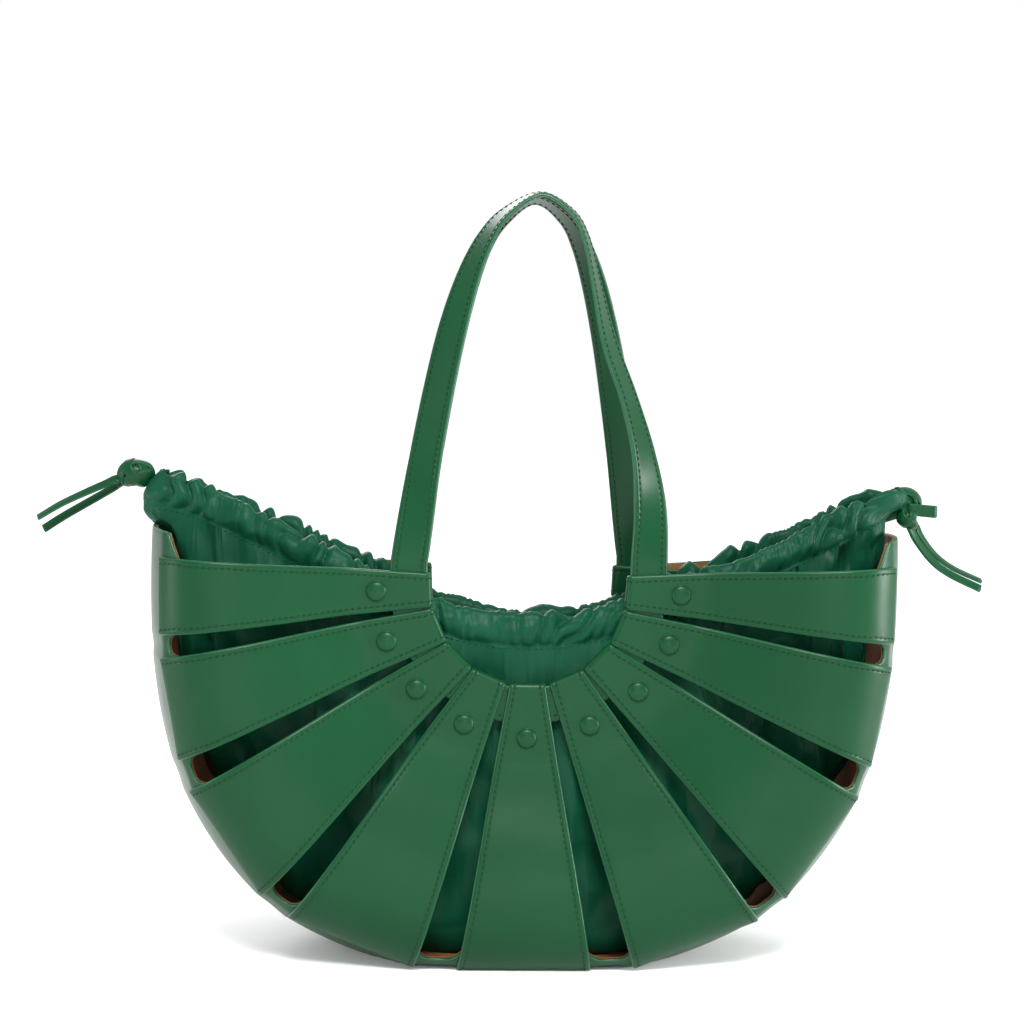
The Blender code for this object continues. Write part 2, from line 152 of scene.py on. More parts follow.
# Laces
LACE_WIDTH = 0.0058
LACE_THICKNESS = 0.0022
SHANK_LENGTH = 0.0400
PULL_RISE = radians(18)
LEFT_KNOT = (-0.2466, 0.0, 0.2975)
LEFT_KNOT_SIZE = (0.0125, 0.0085, 0.0092)
RIGHT_KNOT = (0.2490, 0.0, 0.2825)
RIGHT_KNOT_SIZE = (0.0135, 0.0085, 0.0105)
RIGHT_RING = (0.2425, 0.0030, 0.2870)
RIGHT_LOW_KNOT = (0.2440, -0.0010, 0.2770)
RIGHT_BIGHT = ((0.2430, -0.0015, 0.2826), (0.2590, -0.0030, 0.2812))
TAIL_ROUTES = {
    "left_lace_tail_upper": (
        (-0.2592, -0.0035, 0.2932), (-0.2640, -0.0042, 0.2908), (-0.2770, -0.0055, 0.2848),
        (-0.2915, -0.0060, 0.2776), (-0.3055, -0.0062, 0.2690)),
    "left_lace_tail_lower": (
        (-0.2570, 0.0030, 0.2904), (-0.2625, 0.0036, 0.2868), (-0.2727, 0.0048, 0.2808),
        (-0.2915, 0.0062, 0.2697), (-0.3045, 0.0068, 0.2612)),
    "right_lace_tail_upper": (
        (0.2505, 0.0024, 0.2712), (0.2545, 0.0030, 0.2640), (0.2636, 0.0038, 0.2531),
        (0.2755, 0.0040, 0.2447), (0.2940, 0.0044, 0.2366)),
    "right_lace_tail_lower": (
        (0.2452, -0.0030, 0.2706), (0.2496, -0.0036, 0.2622), (0.2600, -0.0044, 0.2494),
        (0.2718, -0.0046, 0.2412), (0.2910, -0.0050, 0.2324)),
}


# ------------------------------------------------------------------------- camera

def add_camera():
    azimuth, elevation, distance, roll = radians(-2.5), radians(2.5), 1.190, radians(1.0)
    target = Vector((-0.0093, 0.0, 0.2767))
    back = Vector((sin(azimuth) * cos(elevation), -cos(azimuth) * cos(elevation), sin(elevation)))
    data = bpy.data.cameras.new("camera")
    data.lens = 66
    data.sensor_width = 36
    camera = bpy.data.objects.new("camera", data)
    bpy.context.scene.collection.objects.link(camera)
    camera.location = target + back * distance
    turned = back.to_track_quat("Z", "Y").to_matrix() @ Matrix.Rotation(roll, 3, "Z")
    camera.rotation_euler = turned.to_euler()
    bpy.context.scene.camera = camera


# ---------------------------------------------------------------------- materials

class Nodes:
    """Short calls for building one material's node tree."""

    def __init__(self, name):
        self.material = bpy.data.materials.new(name)
        self.material.use_nodes = True
        self.tree = self.material.node_tree
        self.shader = self.tree.nodes["Principled BSDF"]
        self.place = self.add("ShaderNodeTexCoord").outputs["Object"]

    def add(self, kind, **settings):
        node = self.tree.nodes.new(kind)
        for key, value in settings.items():
            setattr(node, key, value)
        return node

    def link(self, output, socket):
        self.tree.links.new(output, socket)

    def set(self, **values):
        for key, value in values.items():
            self.shader.inputs[key.replace("_", " ")].default_value = value

    def noise(self, scale, detail=3.0, rough=0.55, stretch=None):
        node = self.add("ShaderNodeTexNoise")
        node.inputs["Scale"].default_value = scale
        node.inputs["Detail"].default_value = detail
        node.inputs["Roughness"].default_value = rough
        self.link(self.stretched(stretch), node.inputs["Vector"])
        return node.outputs["Fac"]

    def stretched(self, stretch):
        if stretch is None:
            return self.place
        mapping = self.add("ShaderNodeMapping")
        mapping.inputs["Scale"].default_value = stretch
        self.link(self.place, mapping.inputs["Vector"])
        return mapping.outputs["Vector"]

    def cells(self, scale, feature="DISTANCE_TO_EDGE"):
        node = self.add("ShaderNodeTexVoronoi", feature=feature)
        node.inputs["Scale"].default_value = scale
        self.link(self.place, node.inputs["Vector"])
        return node.outputs["Distance"]

    def ramp(self, fac, stops):
        node = self.add("ShaderNodeValToRGB")
        elements = node.color_ramp.elements
        while len(elements) < len(stops):
            elements.new(0.5)
        for element, (position, colour) in zip(elements, stops):
            element.position = position
            element.color = (*colour, 1)
        self.link(fac, node.inputs["Fac"])
        return node.outputs["Color"]

    def spread(self, fac, low, high):
        node = self.add("ShaderNodeMapRange")
        node.inputs["To Min"].default_value = low
        node.inputs["To Max"].default_value = high
        self.link(fac, node.inputs["Value"])
        return node.outputs["Result"]

    def bump(self, heights):
        """Chained bumps from (height output, distance in metres, strength)."""
        normal = None
        for height, distance, strength in heights:
            node = self.add("ShaderNodeBump")
            node.inputs["Distance"].default_value = distance
            node.inputs["Strength"].default_value = strength
            self.link(height, node.inputs["Height"])
            if normal is not None:
                self.link(normal, node.inputs["Normal"])
            normal = node.outputs["Normal"]
        self.link(normal, self.shader.inputs["Normal"])


def leather_material():
    n = Nodes("green_leather")
    n.link(n.ramp(n.noise(14, 4), ((0.3, (0.0003, 0.0320, 0.0092)), (0.7, (0.0007, 0.0380, 0.0115)))),
           n.shader.inputs["Base Color"])
    n.link(n.spread(n.noise(60, 3), 0.30, 0.37), n.shader.inputs["Roughness"])
    n.set(Specular_IOR_Level=0.16)
    n.bump(((n.cells(1500), 0.00006, 0.20), (n.noise(2600, 2), 0.00005, 0.25),
            (n.noise(45, 2), 0.0006, 0.10)))
    return n.material


def edge_material():
    n = Nodes("painted_edge")
    n.link(n.ramp(n.noise(40, 2), ((0.3, (0.0020, 0.045, 0.0165)), (0.7, (0.0035, 0.056, 0.0220)))),
           n.shader.inputs["Base Color"])
    n.link(n.spread(n.noise(300, 2), 0.28, 0.40), n.shader.inputs["Roughness"])
    n.set(Specular_IOR_Level=0.30)
    n.bump(((n.noise(500, 2), 0.00010, 0.3),))
    return n.material


def thread_material():
    n = Nodes("thread")
    # thread darker than the leather: its own dark green plus painted shade of the stitch holes
    n.link(n.ramp(n.noise(900, 2), ((0.3, (0.0004, 0.017, 0.0055)), (0.7, (0.0009, 0.025, 0.0090)))),
           n.shader.inputs["Base Color"])
    n.set(Roughness=0.60, Specular_IOR_Level=0.20)
    n.bump(((n.noise(5200, 1, 0.5, (1, 1, 1)), 0.00008, 0.6),))
    return n.material


def lining_material():
    n = Nodes("tan_lining")
    n.link(n.ramp(n.noise(70, 5, 0.65), ((0.25, (0.120, 0.040, 0.010)), (0.75, (0.200, 0.078, 0.023)))),
           n.shader.inputs["Base Color"])
    n.set(Roughness=0.85, Specular_IOR_Level=0.10, Sheen_Weight=0.06, Sheen_Roughness=0.5)
    n.bump(((n.noise(1400, 4, 0.7), 0.00018, 0.5), (n.noise(60, 2), 0.0006, 0.2)))
    return n.material


def cloth_material():
    n = Nodes("pouch_cloth")
    n.link(n.ramp(n.noise(26, 4), ((0.3, (0.0012, 0.0340, 0.0155)), (0.7, (0.0024, 0.0470, 0.0225)))),
           n.shader.inputs["Base Color"])
    n.link(n.spread(n.noise(90, 3), 0.36, 0.46), n.shader.inputs["Roughness"])
    n.set(Specular_IOR_Level=0.08, Sheen_Weight=0.03, Sheen_Roughness=0.4,
          Sheen_Tint=(0.55, 0.95, 0.78, 1))
    across = n.add("ShaderNodeTexWave", wave_type="BANDS", bands_direction="X")
    along = n.add("ShaderNodeTexWave", wave_type="BANDS", bands_direction="Z")
    for wave in (across, along):
        wave.inputs["Scale"].default_value = 620
        wave.inputs["Distortion"].default_value = 0.6
        n.link(n.place, wave.inputs["Vector"])
    weave = n.add("ShaderNodeMath", operation="MAXIMUM")
    n.link(across.outputs["Fac"], weave.inputs[0])
    n.link(along.outputs["Fac"], weave.inputs[1])
    n.bump(((weave.outputs["Value"], 0.00005, 0.22), (n.noise(380, 4, 0.6), 0.0002, 0.30),
            (n.noise(95, 4, 0.6), 0.0008, 0.28)))
    return n.material


WORLD_LIGHT = 1.0
FLOOR_GLOW = (0.0, 0.35)       # painted glow: none beside the bag, full out in the room
FLOOR_REACH = 0.80


def floor_material():
    """Pale, with a painted glow that grows away from the bag across FLOOR_REACH and lightens the
    shadows there.
    """
    n = Nodes("floor")
    mapping = n.add("ShaderNodeMapping")
    mapping.inputs["Scale"].default_value = (1 / FLOOR_REACH,) * 3
    n.link(n.place, mapping.inputs["Vector"])
    ball = n.add("ShaderNodeTexGradient", gradient_type="SPHERICAL")
    n.link(mapping.outputs["Vector"], ball.inputs["Vector"])
    n.link(n.spread(ball.outputs["Fac"], FLOOR_GLOW[1], FLOOR_GLOW[0]),
           n.shader.inputs["Emission Strength"])
    n.set(Base_Color=(0.92, 0.92, 0.92, 1), Roughness=0.6, Specular_IOR_Level=0.1,
          Emission_Color=(1, 1, 1, 1))
    return n.material


LEATHER = leather_material()
EDGE = edge_material()
THREAD = thread_material()
LINING = lining_material()
CLOTH = cloth_material()


# ------------------------------------------------------------------- mesh building

def unit(vectors):
    length = np.linalg.norm(vectors, axis=-1, keepdims=True)
    return vectors / np.maximum(length, 1e-12)


def grid_normals(grid, wrap=False):
    """Unit normals of an (n, m, 3) grid, along first index x second index."""
    if wrap:
        along = np.roll(grid, -1, 0) - np.roll(grid, 1, 0)
    else:
        along = np.gradient(grid, axis=0)
    return unit(np.cross(along, np.gradient(grid, axis=1)))


class Mesh:
    """Collects vertices, faces and material numbers for one object."""

    def __init__(self):
        self.points, self.faces, self.looks, self.count = [], [], [], 0

    def add_points(self, points):
        points = np.asarray(points, float).reshape(-1, 3)
        self.points.append(points)
        self.count += len(points)
        return self.count - len(points)

    def add_faces(self, faces, look):
        self.faces += [tuple(int(i) for i in face) for face in faces]
        self.looks += [look] * len(faces)

    def thick_sheet(self, outer, inner, looks=(0, 1, 2), wrap=False, rounds=3):
        """Closed sheet between two (n, m, 3) grids, with a rounded edge all round."""
        n, m = outer.shape[:2]
        top, low = self.add_points(outer), self.add_points(inner)
        rows = n if wrap else n - 1
        i, j = np.meshgrid(np.arange(rows), np.arange(m - 1), indexing="ij")
        a, b = i * m + j, (i + 1) % n * m + j
        quads = np.stack([a, b, b + 1, a + 1], -1).reshape(-1, 4)
        self.add_faces(quads + top, looks[0])
        self.add_faces(quads[:, ::-1] + low, looks[2])
        if wrap:
            loops = [[(i, 0) for i in range(n)], [(i, m - 1) for i in range(n)][::-1]]
        else:
            loops = [[(i, 0) for i in range(n)] + [(n - 1, j) for j in range(1, m)]
                     + [(i, m - 1) for i in range(n - 2, -1, -1)]
                     + [(0, j) for j in range(m - 2, 0, -1)]]
        for loop in loops:
            self.rim(loop, outer, inner, top, low, m, looks[1], rounds, wrap)

    def rim(self, loop, outer, inner, top, low, m, look, rounds, wrap):
        n = outer.shape[0]
        at = np.array(loop)
        upper, lower = outer[at[:, 0], at[:, 1]], inner[at[:, 0], at[:, 1]]
        away = np.zeros_like(upper)
        for k, (i, j) in enumerate(loop):
            if j in (0, m - 1):
                away[k] += unit(outer[i, j] - outer[i, 1 if j == 0 else m - 2])
            if not wrap and i in (0, n - 1):
                away[k] += unit(outer[i, j] - outer[1 if i == 0 else n - 2, j])
        away = unit(away)
        middle, half = (upper + lower) / 2, (upper - lower) / 2
        thick = np.linalg.norm(half, axis=-1, keepdims=True)
        rings = [at[:, 0] * m + at[:, 1] + top]
        for r in range(1, rounds + 1):
            turn = pi * r / (rounds + 1)
            start = self.add_points(middle + half * cos(turn) + away * thick * sin(turn))
            rings.append(np.arange(len(loop)) + start)
        rings.append(at[:, 0] * m + at[:, 1] + low)
        for first, second in zip(rings, rings[1:]):
            faces = np.stack([first, second, np.roll(second, -1), np.roll(first, -1)], -1)
            self.add_faces(faces, look)

    def stitches(self, line, normals, look):
        """Threads laid along a line of points, dipping into the leather at both ends."""
        steps = np.linalg.norm(np.diff(line, axis=0), axis=1)
        reach = np.concatenate([[0], np.cumsum(steps)])
        count = int(reach[-1] / STITCH_PITCH)
        shape = ((-0.5, 0.35, -1.2), (-0.40, 0.85, 0.0), (-0.15, 1.0, 0.75),
                 (0.15, 1.0, 0.75), (0.40, 0.85, 0.0), (0.5, 0.35, -1.2))
        for k in range(count):
            middle = (k + 0.5) / count * reach[-1]
            spots = middle + np.array([s[0] for s in shape]) * STITCH_LENGTH
            centre = np.stack([np.interp(spots, reach, line[:, a]) for a in range(3)], -1)
            up = unit(np.array([np.interp(middle, reach, normals[:, a]) for a in range(3)]))
            ahead = unit(centre[-1] - centre[0])
            side = np.cross(up, ahead)
            slant = np.array([s[0] for s in shape])[:, None] * side * STITCH_RADIUS * 1.6
            rings = []
            for (_, wide, lift), point in zip(shape, centre + slant):
                turn = np.arange(6) * pi / 3
                ring = (point + up * STITCH_RADIUS * lift
                        + np.outer(np.cos(turn), side) * STITCH_RADIUS * wide
                        + np.outer(np.sin(turn), up) * STITCH_RADIUS * wide)
                rings.append(self.add_points(ring) + np.arange(6))
            for first, second in zip(rings, rings[1:]):
                self.add_faces(np.stack([first, np.roll(first, -1), np.roll(second, -1),
                                         second], -1), look)
            self.add_faces([rings[0][::-1], rings[-1]], look)

    def build(self, name, materials):
        mesh = bpy.data.meshes.new(name)
        mesh.from_pydata(np.concatenate(self.points).tolist(), [], self.faces)
        for material in materials:
            mesh.materials.append(material)
        mesh.polygons.foreach_set("material_index", self.looks)
        mesh.validate()
        mesh.shade_smooth()
        ob = bpy.data.objects.new(name, mesh)
        bpy.context.scene.collection.objects.link(ob)
        return ob


def outward(ob):
    """Turns every closed shell of the mesh so that its faces point out."""
    import bmesh
    bm = bmesh.new()
    bm.from_mesh(ob.data)
    bmesh.ops.recalc_face_normals(bm, faces=bm.faces)
    bm.to_mesh(ob.data)
    bm.free()
    return ob


def spline(points, count):
    """count + 1 points on a smooth curve through the given ones (Catmull-Rom)."""
    knots = [np.array(p, float) for p in points]
    knots = [2 * knots[0] - knots[1]] + knots + [2 * knots[-1] - knots[-2]]
    spans = len(knots) - 3
    out = []
    for i in range(count + 1):
        place = i / count * spans
        k = min(int(place), spans - 1)
        t = place - k
        a, b, c, d = knots[k:k + 4]
        out.append(0.5 * (2 * b + (c - a) * t + (2 * a - 5 * b + 4 * c - d) * t ** 2
                          + (3 * b - a - 3 * c + d) * t ** 3))
    return np.array(out)


def smooth(t):
    t = np.clip(t, 0.0, 1.0)
    return t * t * (3 - 2 * t)


def ripple(points, scale, seed):
    """Smooth random height from -1 to 1 at each point of a grid."""
    flat = points.reshape(-1, 3) * scale + np.array([seed * 17.3, seed * 5.1, seed * 9.7])
    return np.array([noise.noise(Vector(p)) for p in flat]).reshape(points.shape[:-1])


# ------------------------------------------------------------------ outline of the cage

def direction(angle):
    return np.array([-cos(radians(angle)), -sin(radians(angle))])


def outline(angle):
    a = radians(angle)
    reach = (abs(cos(a) / HALF_WIDTH) ** OUTLINE_POWER
             + abs(sin(a) / OUTLINE_DROP) ** OUTLINE_POWER) ** (-1 / OUTLINE_POWER)
    point = direction(angle) * reach
    point[1] = max(point[1], FLOOR_GAP - NECK_HEIGHT)
    return point


def strap_angles(index):
    if index < 5:
        return STRAP_ENDS[index]
    first, last = STRAP_ENDS[8 - index]
    return 180 - last, 180 - first


def neck_edges(index):
    """Radial direction of a strap at the neckline, and half its width across it."""
    angle = NECK_ANGLES[index] if index < 5 else 180 - NECK_ANGLES[8 - index]
    width = END_STRAP_WIDTH if index in (0, STRAP_COUNT - 1) else STRAP_WIDTH
    along = direction(angle)
    return along, np.array([-along[1], along[0]]) * width / 2


def stud_place(index):
    start = neck_edges(index)[0] * FOLD_CENTRE
    first, last = strap_angles(index)
    run = (outline(first) + outline(last)) / 2 - start
    return start + run / np.linalg.norm(run) * STUD_RUN


def edge_angle(run):
    return asin(max(0.0, EDGE_RUN - run) / EDGE_RADIUS)


def edge_depth(run):
    return MAX_DEPTH - EDGE_RADIUS * (1 - cos(edge_angle(run)))


def in_space(flat, depth, side):
    return np.array([flat[0], -side * depth, flat[1] + NECK_HEIGHT])


# ------------------------------------------------------------------------------ straps

def panel_depth(run, length):
    """Depth of a strap's centre-line at a run from its fold."""
    flat = FLAT_END - FOLD_CENTRE
    if run <= flat:
        return NECK_DEPTH
    if length - run < EDGE_RUN:
        return edge_depth(length - run)
    rise = sin(pi / 2 * (run - flat) / (length - EDGE_RUN - flat)) ** 1.5
    return NECK_DEPTH + (MAX_DEPTH - NECK_DEPTH) * rise


def strap_rows(width):
    """Distances across a strap: close together at the edges and at the stitching."""
    edge = [0, 0.0003, 0.0008, 0.0016, 0.0023, 0.0026, 0.0029, 0.0032, 0.0035, 0.0043]
    middle = np.linspace(0.0043, width - 0.0043, 9)[1:-1]
    return np.array(edge + middle.tolist() + [width - d for d in edge[::-1]])


def leather_relief(rows, width):
    """Height over the flat face: a stitched groove near each edge, and a soft fall."""
    near = np.minimum(rows, width - rows)
    groove = GROOVE * np.exp(-((near - STITCH_INSET) / 0.00042) ** 2)
    fall = 0.00022 * np.clip(1 - near / 0.0010, 0, 1) ** 2
    puff = 0.00012 * np.exp(-((near - 0.0015) / 0.0007) ** 2)
    return puff - groove - fall


def strap_path(index, side):
    """Left edge and right edge points of a strap, from tab end to outer edge."""
    first, last = (outline(a) for a in strap_angles(index))
    along, across = neck_edges(index)
    start_left, start_right = along * FOLD_CENTRE - across, along * FOLD_CENTRE + across
    length = np.linalg.norm((first + last) / 2 - along * FOLD_CENTRE)
    left, right = [], []

    def both(radius, depth):
        left.append(in_space(along * radius - across, depth, side))
        right.append(in_space(along * radius + across, depth, side))

    for radius in np.linspace(TAB_END, FOLD_CENTRE, 22)[:-1]:
        meet = smooth((radius - TAB_MEET[0] + 0.0006) / (TAB_MEET[1] - TAB_MEET[0]))
        both(radius, NECK_DEPTH - 2 * FOLD_RADIUS + (2 * FOLD_RADIUS - TAB_LAYER) * meet)
    for i in range(11):
        turn = pi * i / 10
        both(FOLD_CENTRE - FOLD_RADIUS * sin(turn), BAND_DEPTH - FOLD_RADIUS * cos(turn))
    for run in np.linspace(0, length, 82)[1:]:
        t = run / length
        depth = panel_depth(run, length)
        left.append(in_space(start_left + (first - start_left) * t, depth, side))
        right.append(in_space(start_right + (last - start_right) * t, depth, side))
    return np.array(left), np.array(right)


def ribbon(mesh, left, right, thickness, outer_sign, wrap=False, both_faces=False, wobble=0.0,
           seed=1):
    """A stitched leather strap between two edge lines; outer_sign sets its good side."""
    n = len(left)
    widths = np.linalg.norm(right - left, axis=1)
    rows = np.array([strap_rows(w) for w in widths])
    grid = left[:, None] + (right - left)[:, None] * (rows / widths[:, None])[..., None]
    normals = grid_normals(grid, wrap) * outer_sign
    if wobble:
        grid = grid + normals * (ripple(grid, 38, seed) * wobble)[..., None]
    relief = np.array([leather_relief(r, w) for r, w in zip(rows, widths)])
    back = relief if both_faces else relief * 0
    outer = grid + normals * (thickness / 2 + relief)[..., None]
    inner = grid - normals * (thickness / 2 + back)[..., None]
    mesh.thick_sheet(outer, inner, (0, 1, 0 if both_faces else 2), wrap)
    place = STITCH_INSET
    for near, far in ((left, right), (right, left)):
        line = near + (far - near) * (place / widths)[:, None]
        column = 6 if near is left else grid.shape[1] - 7
        faces = (1, -1) if both_faces else (1,)
        for face in faces:
            height = thickness / 2 - GROOVE * 0.55
            shift = grid[:, column] - line if wobble else 0
            spots = line + normals[:, column] * height * face + shift
            track = np.vstack([spots, spots[:1]]) if wrap else spots
            ups = np.vstack([normals[:, column], normals[:1, column]]) if wrap else normals[:, column]
            mesh.stitches(track, ups * face, 3)
    return n


def make_strap(index, side, where):
    left, right = strap_path(index, side)
    tangent = left[-1] - left[-2]
    normal = np.cross(tangent, right[-1] - left[-1])
    sign = 1 if normal[1] * -side > 0 else -1
    mesh = Mesh()
    ribbon(mesh, left, right, STRAP_THICKNESS, sign, wobble=0.00030, seed=index + 1 + 20 * (side < 0))
    strap = outward(mesh.build(f"{where}_strap_{index + 1}_leather", [LEATHER, EDGE, LINING, THREAD]))
    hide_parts(f"{where}_strap_{index + 1}")
    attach(strap, "cage")


# ------------------------------------------------------------------------------ rivets

def make_stud(index, side, where):
    """A covered rivet: pressed dome, seam ring, post and back washer."""
    head = STRAP_THICKNESS / 2
    profile = [(STUD_HEAD * sin(radians(a)) * 0.93, head + 0.0005 + (STUD_DOME - 0.0003)
                * cos(radians(a))) for a in range(0, 91, 10)]
    profile += [(STUD_HEAD * 0.955, head + 0.00030), (STUD_HEAD * 0.985, head + 0.00045),
                (STUD_HEAD * 1.01, head + 0.00030), (STUD_HEAD * 1.015, head + 0.0001),
                (STUD_HEAD * 0.99, head - 0.0001), (0.0020, head - 0.0001),
                (0.0020, -TAB_LAYER - head - 0.0002), (0.0044, -TAB_LAYER - head - 0.0002),
                (0.0046, -TAB_LAYER - head - 0.0007), (0.0042, -TAB_LAYER - head - 0.0012),
                (0.0, -TAB_LAYER - head - 0.0013)]
    steps = 40
    centre = in_space(stud_place(index), NECK_DEPTH, side)
    mesh = Mesh()
    rings = []
    for radius, height in profile:
        turn = np.arange(steps if radius > 1e-6 else 1) * 2 * pi / steps
        ring = np.stack([np.cos(turn) * radius, np.full(len(turn), -side * height),
                         np.sin(turn) * radius], -1) + centre
        rings.append(mesh.add_points(ring) + np.arange(len(turn)))
    for first, second in zip(rings, rings[1:]):
        if len(first) == 1:
            mesh.add_faces([(first[0], second[k], second[(k + 1) % steps]) for k in range(steps)], 0)
        elif len(second) == 1:
            mesh.add_faces([(first[k], second[0], first[(k + 1) % steps]) for k in range(steps)], 0)
        else:
            mesh.add_faces(np.stack([first, second, np.roll(second, -1), np.roll(first, -1)], -1), 0)
    stud = outward(mesh.build(f"{where}_stud_{index + 1}_covered", [LEATHER]))
    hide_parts(f"{where}_stud_{index + 1}")
    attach(stud, "cage")


# ------------------------------------------------------------------------------ gusset

def gusset_stations(per_strap=12, per_slot=18):
    """(angle, edge point, flange width, pinch) from the left tip to the right tip."""
    stations = []
    for t in np.linspace(0, 1, 8)[:-1]:
        angle = TIP_ANGLE + (strap_angles(0)[0] - TIP_ANGLE) * t
        stations.append((angle, outline(angle), FLANGE_TIP + (FLANGE - FLANGE_TIP) * t, 0))
    previous = None
    for index in range(STRAP_COUNT):
        first, last = strap_angles(index)
        start, end = outline(first), outline(last)
        if index:
            before = outline(previous)
            for t in (np.arange(per_slot) + 0.5) / per_slot:
                pinch = sin(pi * t) ** 1.2
                angle = previous + (first - previous) * t
                point = before + (start - before) * t - direction(angle) * RIM_PINCH * pinch
                width = FLANGE_SLOT + (FLANGE - FLANGE_SLOT) * abs(2 * t - 1) ** 3.2
                stations.append((angle, point, width, pinch))
        for t in np.linspace(0, 1, per_strap):
            stations.append((first + (last - first) * t, start + (end - start) * t, FLANGE, 0))
        previous = last
    for t in np.linspace(0, 1, 8)[1:]:
        angle = 180 - strap_angles(0)[0] + (strap_angles(0)[0] - TIP_ANGLE) * t
        stations.append((angle, outline(angle), FLANGE - (FLANGE - FLANGE_TIP) * t, 0))
    return stations


def gusset_section(station):
    angle, edge, width, pinch = station
    out = direction(angle)
    half = []
    for run in width * np.linspace(1, 0, 7):
        turn = edge_angle(run)
        half.append((edge - out * (run + GUSSET_CLEARANCE * sin(turn)),
                     edge_depth(run) - GUSSET_CLEARANCE * cos(turn)))
    start, start_depth = half[-1]
    middle = outline(angle) + out * (GUSSET_BULGE - GUSSET_PINCH * pinch)
    for t in np.linspace(0, 1, 17)[1:]:
        half.append((start + (middle - start) * (1 - (1 - t) ** 2), start_depth * (1 - t)))
    points = [in_space(flat, depth, 1) for flat, depth in half]
    points += [in_space(flat, depth, -1) for flat, depth in half[-2::-1]]
    points = np.array(points)
    points[:, 2] = np.maximum(points[:, 2], 0)
    return points


def make_gusset():
    grid = np.array([gusset_section(s) for s in gusset_stations()])
    normals = grid_normals(grid)
    if normals[0, grid.shape[1] // 2, 0] > 0:
        normals = -normals
    layers = (("gusset_leather", "gusset", 0.0, GUSSET_THICKNESS, (0, 1, 0), [LEATHER, EDGE]),
              ("gusset_lining_leather", "gusset_lining", GUSSET_THICKNESS + GAP / 2,
               LINING_THICKNESS, (0, 0, 0), [LINING]))
    for name, node, inset, thickness, looks, materials in layers:
        mesh = Mesh()
        mesh.thick_sheet(grid - normals * inset, grid - normals * (inset + thickness), looks)
        piece = outward(mesh.build(name, materials))
        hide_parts(node)
        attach(piece, "cage")


# ---------------------------------------------------------------- neck bands and handles

def handle_edges(arch, side):
    """Inner and outer edge points of a whole loop: handle arch, then the neck band."""
    base = arch[0][1]
    places = spline(arch, 260)
    lean = (BAND_DEPTH - HANDLE_TOP_DEPTH) / (HANDLE_TOP - base)
    front = np.array([0, -side, -lean]) / np.hypot(1, lean)
    rise = places[:, 1] - base
    depth = BAND_DEPTH - lean * (rise - 0.006 * (1 - np.exp(-rise / 0.006)))
    centres = np.stack([places[:, 0], -side * depth, places[:, 1]], -1)
    tangents = unit(np.gradient(centres, axis=0))
    upright = np.array([0, 0, 1.0])
    ease = smooth(np.minimum(rise, 0.012) / 0.012)[:, None]
    sense = np.where(places[:, 0] < 0, 1.0, -1.0)[:, None]
    tangents = unit(tangents * ease + upright * sense * (1 - ease))
    inner_way = unit(np.cross(tangents, front) * side)
    twist = np.radians(places[:, 2])[:, None]
    width = inner_way * np.cos(twist) + front * np.sin(twist)
    inner = centres + width * BAND_WIDTH / 2
    outer = centres - width * BAND_WIDTH / 2
    for turn in np.linspace(pi, 0, 90):
        for radius, edge in ((BAND_INNER, "inner"), (BAND_INNER + BAND_WIDTH, "outer")):
            flat = np.array([-radius * cos(turn), -radius * sin(turn)])
            point = in_space(flat, BAND_DEPTH, side)[None]
            if edge == "inner":
                inner = np.vstack([inner, point])
            else:
                outer = np.vstack([outer, point])
    return inner, outer


def make_handle(where, arch, side):
    inner, outer = handle_edges(arch, side)
    mesh = Mesh()
    normal = np.cross(inner[6] - inner[5], outer[5] - inner[5])
    sign = 1 if normal[1] * -side > 0 else -1
    ribbon(mesh, inner, outer, BAND_THICKNESS, sign, wrap=True, both_faces=True)
    handle = outward(mesh.build(where + "_handle_strap", [LEATHER, EDGE, LINING, THREAD]))
    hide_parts(where + "_handle", where + "_neck_band")
    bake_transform(handle)


# ------------------------------------------------------------------------------- pouch

def pouch_rim(x):
    run = np.sqrt((np.abs(x) / POUCH_HALF) ** 2 + 0.028) - 0.167
    left = np.sin(pi * np.clip((-x - 0.070) / 0.19, 0, 1))
    return POUCH_RIM_LOW + POUCH_RIM_RISE * (run / 0.847) ** 1.22 + RIM_LEFT_RISE * left


def pouch_bottom(x):
    inner = HALF_WIDTH + GUSSET_BULGE - POUCH_GAP
    drop = np.maximum(0.0, 1 - (np.abs(x) / inner) ** OUTLINE_POWER) ** (1 / OUTLINE_POWER)
    return np.minimum(NECK_HEIGHT - (OUTLINE_DROP - POUCH_SAG) * drop, pouch_rim(x) - 0.034)


def pouch_room(x, z):
    """How far the cloth may come forward behind the neck band, rivets and straps."""
    away = np.hypot(x, z - NECK_HEIGHT) - POUCH_WAIST_RADIUS
    return POUCH_WAIST + np.clip(away / POUCH_BELLY_RUN, 0, 1) * (POUCH_DEPTH - POUCH_WAIST)


